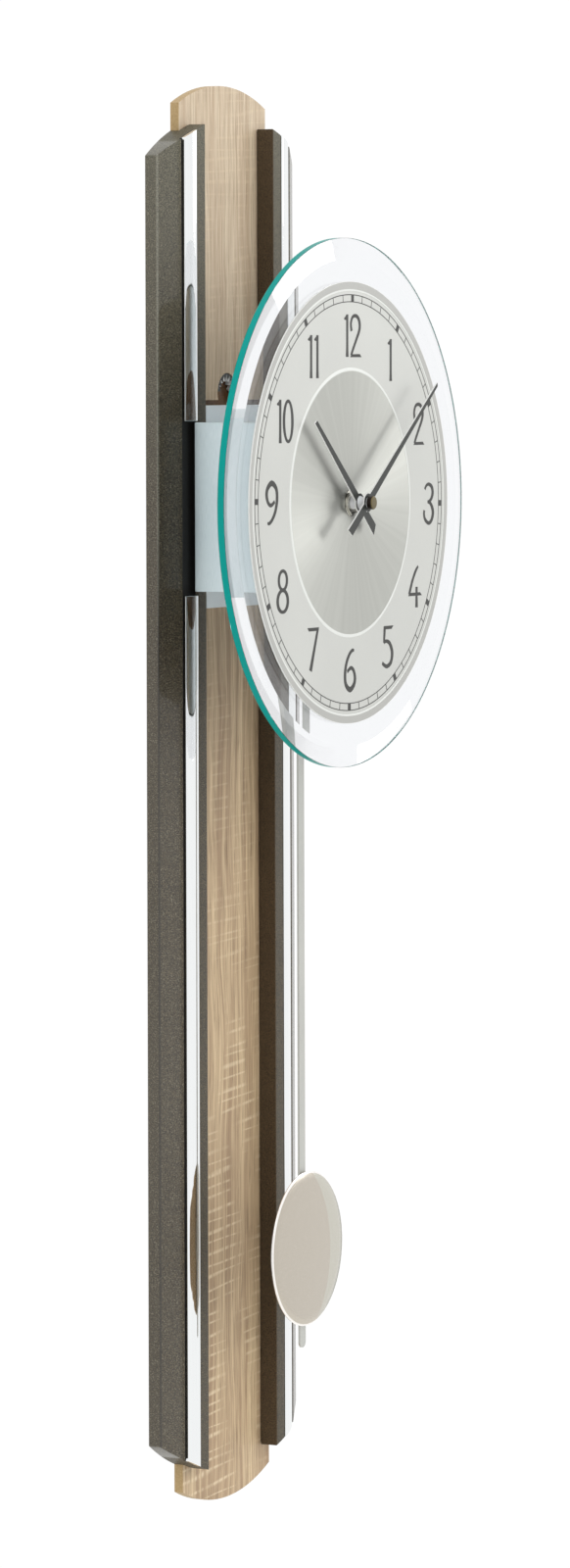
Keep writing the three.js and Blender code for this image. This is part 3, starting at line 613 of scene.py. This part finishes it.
def dress(node, material, bevel=0.0, sharp=30):
    """Gives a CAD node its material, soft edges and smooth curved faces. Its vertices stay as they are."""
    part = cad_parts[node]
    part.data.materials.clear()
    part.data.materials.append(material)
    custom = part.data.attributes.get("custom_normal")
    if custom:
        part.data.attributes.remove(custom)
    part.data.shade_smooth()
    part.modifiers.new("weld", "WELD").merge_threshold = 1e-6
    if bevel:
        edge = part.modifiers.new("edge", "BEVEL")
        edge.width = bevel * MM
        edge.segments = 2
        edge.limit_method = "ANGLE"
        edge.angle_limit = math.radians(sharp)
        part.modifiers.new("shade", "WEIGHTED_NORMAL").weight = 90
    else:
        part.modifiers.new("split", "EDGE_SPLIT").split_angle = math.radians(sharp)


# ---------------------------------------------------------------- places, from the CAD

glass_low, glass_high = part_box("glass_disc")
dial_low, dial_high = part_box("dial_plate")
disc_low, disc_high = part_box("dial_centre_disc")
bob_low, bob_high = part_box("pendulum_bob")
shaft = Vector((0, 0, (dial_low.z + dial_high.z) / 2))
dial_radius = (dial_high.x - dial_low.x) / 2 / MM
dial_front, dial_back = dial_low.y / MM, dial_high.y / MM
face_back = dial_back - 0.1
disc_radius = (disc_high.x - disc_low.x) / 2 / MM
disc_front = disc_low.y / MM
decor_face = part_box("back_board")[0].y / MM

# ---------------------------------------------------------------- CAD pieces with their finishes

oak = oak_board(decor_face)
slat_low, slat_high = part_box("slat_right")
lacquer = anthracite(slat_low.x / MM, slat_high.x / MM)
plating = chrome()
housing_paint = finish(
    "housing_satin", (196, 213, 217), (224, 237, 240), 0.5, (0.3, 0.42), 0.01, 30, (3, 3, 0.12), metallic=0.4,
)
# painted light: the frame's paint is a lighter copy of the housing's, making up for the glass's shade on it
frame_paint_with_painted_light = finish(
    "frame_satin", (232, 241, 246), (248, 252, 254), 0.5, (0.3, 0.42), 0.01, 30, (3, 3, 0.12),
)
black_plastic = finish("black_plastic", (26, 26, 27), (40, 40, 42), 0.7, (0.4, 0.55), 0.03, 30)
white_plastic = finish("white_plastic", (224, 226, 228), (240, 241, 242), 0.8, (0.3, 0.4), 0.008, 20)
nickel = finish(
    "nickel_plate", (186, 184, 176), (214, 213, 206), 0.3, (0.16, 0.26), 0.004, 10, metallic=1.0,
)
steel = finish(
    "bright_steel", (150, 150, 148), (186, 186, 184), 0.3, (0.25, 0.38), 0.006, 20, (1, 1, 0.3), metallic=1.0,
)
bronze = bronze_nut()
rod_metal = finish(
    "rod_metal", (176, 177, 172), (200, 200, 194), 0.3, (0.3, 0.4), 0.005, 60, (4, 4, 0.12), metallic=0.7,
)
hand_sheet = hand_metal()
copper = wound_copper()

FINISHES = {
    "oak_decor": (oak, 0.25),
    "anthracite_lacquer": (lacquer, 0.5),
    "chrome_strip": (plating, 0.15),
    "silver_housing": (housing_paint, 0.3),
    "nickel": (nickel, 0.12),
    "hand_anthracite": (hand_sheet, 0.06),
    "white_plastic": (white_plastic, 0.0),
    "bronze_cap": (bronze, 0.12),
    "black_plastic": (black_plastic, 0.2),
    "copper_wire": (copper, 0.0),
    "steel": (steel, 0.0),
    "circuit_board": (printed_board(), 0.0),
    "battery_sleeve": (battery_sleeve(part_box("battery")[1].x / MM), 0.0),
    "pendulum_silver": (rod_metal, 0.15),
}
# Nodes that look different from the rest of their slot; the frame's lighter paint is painted light
OWN_FINISH = {"sawtooth_hanger": hand_sheet, "mounting_frame": frame_paint_with_painted_light}
# Nodes that pieces built below stand for
REPLACED = ("glass_disc", "dial_plate", "dial_centre_disc", "pendulum_bob")

for node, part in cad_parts.items():
    if node in REPLACED:
        continue
    material, bevel = FINISHES[part.data.materials[0].name]
    dress(node, OWN_FINISH.get(node, material), bevel)

# ---------------------------------------------------------------- glass

glass_radius = (glass_high.x - glass_low.x) / 2 / MM
glass_back = glass_high.y / MM
glass_front = glass_low.y / MM
rim_front = glass_front + BEVEL_DEPTH
piece(
    "glass",
    turned("glass", [
        (GLASS_HOLE, glass_back),
        (GLASS_HOLE, glass_front),
        (glass_radius - BEVEL_WIDTH, glass_front),
        (glass_radius - 0.12, rim_front),
        (glass_radius, rim_front + 0.12),
        (glass_radius, glass_back - 0.35),
        (glass_radius - 0.35, glass_back),
    ], shaft, 256, 5),
    clear_glass(), "case", ["glass_disc"],
)

# ---------------------------------------------------------------- dial

satin = finish("dial_satin", (184, 185, 181), (200, 201, 196), 0.25, (0.3, 0.38), 0.004, 60, metallic=0.35)
ink = finish("dial_ink", (26, 26, 23), (38, 38, 34), 0.3, (0.4, 0.5), 0.004, 20)
rim_highlight_paint = finish("dial_white_line", (226, 227, 224), (236, 237, 234), 0.4, (0.25, 0.35), 0.003, 20)
soft_line = finish("dial_soft_line", (208, 210, 206), (218, 220, 216), 0.4, (0.3, 0.4), 0.003, 20)
ring_paint = finish(
    "dial_ring_paint", (164, 164, 160), (174, 174, 170), 0.25, (0.3, 0.4), 0.004, 40, metallic=0.2,
)
disc_metal = turned_metal(
    "dial_disc_metal", shaft, (183, 184, 178), (191, 192, 186), (0.32, 0.38), 0.75, 0.0004,
)
back_silver = finish(
    "dial_back_silver", (226, 233, 233), (238, 244, 244), 0.4, (0.3, 0.4), 0.004, 40, metallic=1.0,
)
back_bronze = finish("dial_back_bronze", (122, 97, 74), (146, 119, 94), 0.4, (0.4, 0.5), 0.005, 40)
back_line = finish("dial_back_line", (46, 60, 54), (60, 74, 68), 0.4, (0.4, 0.5), 0.005, 40)

piece(
    "dial_face",
    turned("dial_face", [
        (GLASS_HOLE, face_back),
        (GLASS_HOLE, dial_front),
        (RING_INNER, dial_front),
        (RING_INNER, face_back),
    ], shaft),
    satin, "case", ["dial_plate"],
)


def back_coat(name, inner, outer, material):
    """A thin coat on the back of the dial, seen through the glass and in the chrome."""
    front = dial_back - COAT_THICK
    profile = [(inner, dial_back), (inner, front), (outer, front), (outer, dial_back)]
    piece(name, turned(name, profile, shaft), material, "case")


back_coat("dial_back_centre", GLASS_HOLE, disc_radius, back_bronze)
back_coat("dial_back_ring", disc_radius, dial_radius - BACK_EDGE[0], back_silver)
back_coat("dial_back_edge", dial_radius - BACK_EDGE[0], dial_radius - BACK_EDGE[1], back_line)


def dial_band(name, inner, outer, rise, material):
    """A flat ring on the dial that stands above its face by the rise."""
    top = dial_front - rise
    profile = [
        (inner, face_back),
        (inner, top + RING_CHAMFER),
        (inner + RING_CHAMFER, top),
        (outer - RING_CHAMFER, top),
        (outer, top + RING_CHAMFER),
        (outer, face_back),
    ]
    piece(name, turned(name, profile, shaft, sharp=12), material, "case")


dial_band("dial_ring_line", RING_INNER, RING_STEP, LINE_PROUD, soft_line)
dial_band("dial_ring", RING_STEP, dial_radius - RING_RIM, BAND_PROUD, ring_paint)
# painted highlight: the thin white rim at the dial's edge stands for light on its raised edge
dial_band("dial_ring_rim", dial_radius - RING_RIM, dial_radius, RIM_PROUD, rim_highlight_paint)
piece(
    "dial_disc",
    turned("dial_disc", [
        (GLASS_HOLE, disc_high.y / MM),
        (GLASS_HOLE, disc_front),
        (disc_radius - 0.5, disc_front),
        (disc_radius - DISC_TRIM, disc_front + 0.06),
        (disc_radius - DISC_TRIM, disc_high.y / MM),
    ], shaft),
    disc_metal, "case", ["dial_centre_disc"],
)
piece(
    "dial_outline",
    turned("dial_outline", [
        (disc_radius - DISC_TRIM, dial_front + 0.03),
        (disc_radius - DISC_TRIM, disc_front - 0.02),
        (disc_radius + 0.1, disc_front - 0.04),
        (disc_radius + OUTLINE_WIDTH - 0.4, dial_front - 0.08),
        (disc_radius + OUTLINE_WIDTH - 0.3, dial_front + 0.03),
    ], shaft, 192, 20),
    soft_line, "case",
)


def on_dial(x, z, y):
    """A point of the minute track in the frame, turned as the whole track is."""
    cos, sin = math.cos(-PRINT_TURN), math.sin(-PRINT_TURN)
    return Vector((shaft.x + (x * cos - z * sin) * MM, y * MM, shaft.z + (x * sin + z * cos) * MM))


def minute_track():
    """Two fine circles with a tick at each minute and a block at each hour between them."""
    bm = bmesh.new()
    front, back = dial_front - PRINT_THICK, dial_front + PRINT_SUNK
    for radius in (TRACK_INNER, TRACK_OUTER):
        circle = [
            (radius * math.cos(math.tau * i / 60), radius * math.sin(math.tau * i / 60), TRACK_LINE)
            for i in range(60)
        ]
        stroke(bm, circle, front, back, on_dial, closed=True)
    for minute in range(60):
        angle = math.tau * minute / 60
        outward = Vector((math.sin(angle), math.cos(angle)))
        side = Vector((outward.y, -outward.x))
        hour = minute % 5 == 0
        half = BLOCK / 2 if hour else TRACK_LINE / 2
        middle = (TRACK_INNER + TRACK_OUTER) / 2
        reach = BLOCK / 2 + 0.15 if hour else (TRACK_OUTER - TRACK_INNER) / 2
        outline = [
            outward * (middle + reach * k) + side * (half * j)
            for j, k in ((-1, -1), (1, -1), (1, 1), (-1, 1))
        ]
        plate(bm, outline, front - 0.01, back, on_dial)
    return to_mesh(bm, "minute_track", 30)


piece("minute_track", minute_track(), ink, "case")


def loop(x, z, half_wide, half_high, side, cap):
    """A closed oval of pen strokes, thick at its sides and thin at its ends."""
    points = []
    for i in range(16):
        angle = math.tau * i / 16
        width = cap + (side - cap) * abs(math.cos(angle)) ** 1.5
        points.append((x + half_wide * math.cos(angle), z + half_high * math.sin(angle), width))
    return points


def half_turn(points):
    return [(-x, -z, *rest) for x, z, *rest in points]


# The figures, in mm from each one's middle: pen strokes of (across, up, width), closed ovals, flat plates
SIX = [
    [(4.3, 8.85, 0.9), (2.5, 9.0, 1.2), (-0.5, 7.2, 1.4), (-3.4, 3.5, 1.6), (-4.9, -1.5, 1.8),
     (-4.1, -6.2, 1.8), (0.1, -8.7, 1.9), (4.0, -6.6, 1.8), (5.1, -3.6, 1.8), (3.8, -0.3, 1.5),
     (1.0, 1.1, 1.3), (-2.7, -0.5, 1.2)],
]
FIGURES = {
    "0": {"loops": [loop(0, 0, 4.1, 9.0, 1.75, 1.1)]},
    "1": {
        "strokes": [[(1.2, 9.65, 1.6), (1.15, 3, 1.55), (1.1, -5, 1.6), (1.05, -9.65, 2.0)]],
        "plates": [[(-2.1, 7.8), (0.9, 9.65), (1.9, 9.65), (1.7, 6.8), (0.3, 7.0), (-1.6, 7.2)]],
    },
    "2": {
        "strokes": [[(-4.3, 2.1, 1.5), (-4.9, 5.4, 1.4), (-3.5, 8.2, 1.2), (-0.6, 9.1, 1.2),
                     (2.5, 8.0, 1.5), (4.0, 5.2, 1.7), (3.4, 2.2, 1.5), (0.3, -2.1, 1.3),
                     (-3.1, -6.5, 1.3), (-4.7, -9.0, 1.3)]],
        "plates": [[(-5.7, -9.75), (5.8, -9.75), (4.0, -8.3), (-4.4, -8.4)]],
    },
    "3": {
        "strokes": [
            [(-4.0, 6.8, 1.2), (-2.3, 8.5, 1.1), (0.2, 9.1, 1.2), (3.3, 7.8, 1.6), (4.3, 5.1, 1.8),
             (3.0, 2.5, 1.5), (0.9, 1.3, 1.1), (-1.1, 0.9, 0.9)],
            [(-1.1, 0.9, 0.9), (2.1, 0.0, 1.4), (4.5, -3.6, 1.9), (3.3, -7.3, 1.6), (0.1, -9.0, 1.3),
             (-3.6, -7.4, 1.4), (-4.9, -4.9, 1.4), (-4.6, -2.9, 1.3)],
        ],
    },
    "4": {
        "strokes": [
            [(3.3, 9.4, 0.9), (0.7, 7.3, 1.3), (-2.5, 3.3, 1.4), (-4.9, -0.9, 1.5), (-6.2, -3.5, 1.5)],
            [(1.6, -0.1, 1.7), (1.55, -4, 1.6), (1.5, -9.65, 2.0)],
        ],
        "plates": [[(-7.1, -4.2), (7.1, -4.2), (5.3, -2.7), (-6.0, -2.7)]],
    },
    "5": {
        "strokes": [
            [(-2.8, 9.4, 1.7), (-3.3, 5.0, 1.5), (-3.7, 2.0, 1.2)],
            [(-3.8, 2.1, 1.1), (-1.2, 2.7, 1.2), (2.3, 1.4, 1.6), (4.7, -2.6, 1.9), (3.5, -7.0, 1.7),
             (-0.5, -8.9, 1.4), (-4.0, -8.0, 1.3), (-5.5, -7.1, 1.2)],
        ],
        "plates": [[(-3.6, 9.65), (6.1, 9.65), (4.2, 8.1), (-3.7, 8.1)]],
    },
    "6": {"strokes": SIX},
    "7": {
        "strokes": [[(4.7, 9.3, 1.4), (1.0, 0.0, 1.6), (-2.8, -9.65, 2.0)]],
        "plates": [[(-5.7, 9.65), (5.7, 9.65), (4.9, 8.1), (-4.2, 8.1)]],
    },
    "8": {"loops": [loop(0.2, 4.9, 3.9, 4.2, 1.6, 1.1), loop(0, -4.35, 4.9, 4.8, 1.8, 1.1)]},
    "9": {"strokes": [half_turn(points) for points in SIX]},
}

# Each hour's middle in mm from the dial's centre, and its figures with how far each stands from that middle
HOURS = {
    1: ((40.0, 64.5), (("1", 0.0),)),
    2: ((70.5, 34.9), (("2", 0.0),)),
    3: ((80.6, -2.4), (("3", 0.0),)),
    4: ((66.0, -40.5), (("4", 0.0),)),
    5: ((37.0, -67.1), (("5", 0.0),)),
    6: ((-1.6, -76.1), (("6", 0.0),)),
    7: ((-38.0, -64.9), (("7", 0.0),)),
    8: ((-67.7, -38.0), (("8", 0.0),)),
    9: ((-77.8, 1.5), (("9", 0.0),)),
    10: ((-64.8, 37.4), (("1", -5.9), ("0", 2.9))),
    11: ((-37.3, 66.1), (("1", -3.1), ("1", 3.1))),
    12: ((2.4, 75.6), (("1", -6.8), ("2", 3.0))),
}


def hour_figures(hour):
    """One hour's figures as a single thin raised print, each stroke a little prouder than the last."""
    (middle_x, middle_z), figures = HOURS[hour]
    front, back = dial_front - PRINT_THICK, dial_front + PRINT_SUNK
    bm = bmesh.new()
    layer = 0
    for figure, offset in figures:
        def at(x, z, y):
            return Vector((shaft.x + (middle_x + offset + x) * MM, y * MM, shaft.z + (middle_z + z) * MM))

        for kind in ("strokes", "loops", "plates"):
            for points in FIGURES[figure].get(kind, []):
                top = front - LAYER_STEP * layer
                if kind == "plates":
                    plate(bm, points, top, back, at)
                else:
                    stroke(bm, points, top, back, at, PEN, closed=kind == "loops")
                layer += 1
    return to_mesh(bm, f"hour_{hour}", 30)


for hour in HOURS:
    piece(f"hour_{hour}", hour_figures(hour), ink, "case")

# ---------------------------------------------------------------- pendulum bob

bob_centre = Vector((0, 0, (bob_low.z + bob_high.z) / 2))
bob_radius = (bob_high.x - bob_low.x) / 2 / MM
bob_front, bob_back = bob_low.y / MM, bob_high.y / MM


def bob_metal():
    """Satin champagne metal with a paler crescent of painted reflection along the right of the face and a
    painted highlight on the rim.
    """
    s = Shader("bob_metal")
    fine = s.noise(s.place(), 4, 3)

    def away(place):
        arm = s.vector("SUBTRACT", s.place(), tuple(bob_centre / MM + Vector(place)))
        return s.vector("LENGTH", s.vector("MULTIPLY", arm, (1, 0, 1)))

    # painted reflection: crescent marks a paler crescent (pale) along the right of the face
    crescent = s.spread(away(REFLECTION_MIDDLE), REFLECTION_RADIUS, REFLECTION_RADIUS + 0.4)
    main = s.mix(s.level(fine), tint(184, 176, 163), tint(194, 187, 175))
    pale = s.mix(s.level(fine), tint(190, 187, 175), tint(199, 196, 185))
    # painted highlight: a bright line on the bob's rim
    bob_rim_highlight = s.spread(away((0, 0, 0)), bob_radius - BOB_RIM, bob_radius - BOB_RIM + 0.15)
    s.set(
        base_color=s.mix(bob_rim_highlight, s.mix(crescent, main, pale), tint(240, 236, 232)),
        metallic=0.85,
        roughness=s.level(fine, 0.2, 0.28),
        normal=s.relief(fine, 0.003),
    )
    return s.material


def bob_profile():
    """A slightly domed face with a thin round rim, a flat back and a hub that reaches the rod."""
    face = [((bob_radius - BOB_RIM) * i / 8, bob_front + BOB_DOME * (i / 8) ** 2.2) for i in range(9)]
    rim = [
        (bob_radius - 0.15, bob_front + 2.0),
        (bob_radius, bob_front + 2.15),
        (bob_radius - 0.2, bob_front + 2.6),
    ]
    flat_back = [(bob_radius - 0.5, bob_front + 2.7), (BOB_HUB, bob_front + 2.7)]
    return face + rim + flat_back + [(BOB_HUB, bob_back), (0, bob_back)]


piece(
    "bob",
    turned("bob", bob_profile(), bob_centre, 160, 40),
    bob_metal(), "pendulum", ["pendulum_bob"],
)

# ---------------------------------------------------------------- floor, light and camera

floor_mesh = bpy.data.meshes.new("floor")
bm = bmesh.new()
bmesh.ops.create_circle(bm, cap_ends=True, radius=FLOOR_RADIUS, segments=96)
bm.to_mesh(floor_mesh)
bm.free()
floor = bpy.data.objects.new("floor", floor_mesh)
floor.location = (0, 0, FLOOR_HEIGHT)
bpy.context.scene.collection.objects.link(floor)
floor_paint = finish("floor_paint", (232, 232, 230), (242, 242, 240), 30, (0.6, 0.7), 0.1, 400)
floor_mesh.materials.append(floor_paint)


def studio():
    """A white room: brighter overhead, darker underfoot, just white at the horizon."""
    world = bpy.data.worlds.new("studio")
    bpy.context.scene.world = world
    world.use_nodes = True
    tree = world.node_tree
    direction = tree.nodes.new("ShaderNodeTexCoord").outputs["Generated"]
    split = tree.nodes.new("ShaderNodeSeparateXYZ")
    tree.links.new(direction, split.inputs[0])
    total = tree.nodes.new("ShaderNodeMath")
    for socket, span in zip(total.inputs, (UNDERFOOT, OVERHEAD)):
        ramp = tree.nodes.new("ShaderNodeMapRange")
        tree.links.new(split.outputs[2], ramp.inputs[0])
        for bound, value in zip(ramp.inputs[1:], span):
            bound.default_value = value
        tree.links.new(ramp.outputs[0], socket)
    tree.links.new(total.outputs[0], tree.nodes["Background"].inputs["Strength"])
    tree.nodes["Background"].inputs["Color"].default_value = (1.0, 1.0, 1.0, 1.0)


def softbox(name, place, target, wide, high, power):
    """A rectangular lamp that looks from its place at the target."""
    light = bpy.data.lights.new(name, "AREA")
    light.shape = "RECTANGLE"
    light.size = wide
    light.size_y = high
    light.energy = power
    lamp = bpy.data.objects.new(name, light)
    lamp.location = place
    lamp.rotation_euler = (Vector(target) - Vector(place)).to_track_quat("-Z", "Y").to_euler()
    bpy.context.scene.collection.objects.link(lamp)


studio()
softbox("key", (-1.2, -2.4, 1.3), (0, 0, -0.15), wide=1.2, high=1.6, power=14)
softbox("right", (2.4, -1.6, 0.9), (0, 0, -0.2), wide=0.5, high=1.6, power=8)

camera = bpy.data.cameras.new("camera")
camera.lens = CAMERA_LENS
camera.sensor_width = 36
camera.shift_y = CAMERA_SHIFT
camera.clip_start = 0.05
camera.clip_end = 50
view = bpy.data.objects.new("camera", camera)
view.rotation_mode = "QUATERNION"
view.location = CAMERA_PLACE
roll = Matrix.Rotation(CAMERA_ROLL, 3, "Z").to_quaternion()
view.rotation_quaternion = CAMERA_FORWARD.to_track_quat("-Z", "Y") @ roll
bpy.context.scene.collection.objects.link(view)
bpy.context.scene.camera = view

scene = bpy.context.scene
scene.view_settings.view_transform = "Standard"
scene.cycles.max_bounces = 24
scene.cycles.glossy_bounces = 20
scene.cycles.transmission_bounces = 20
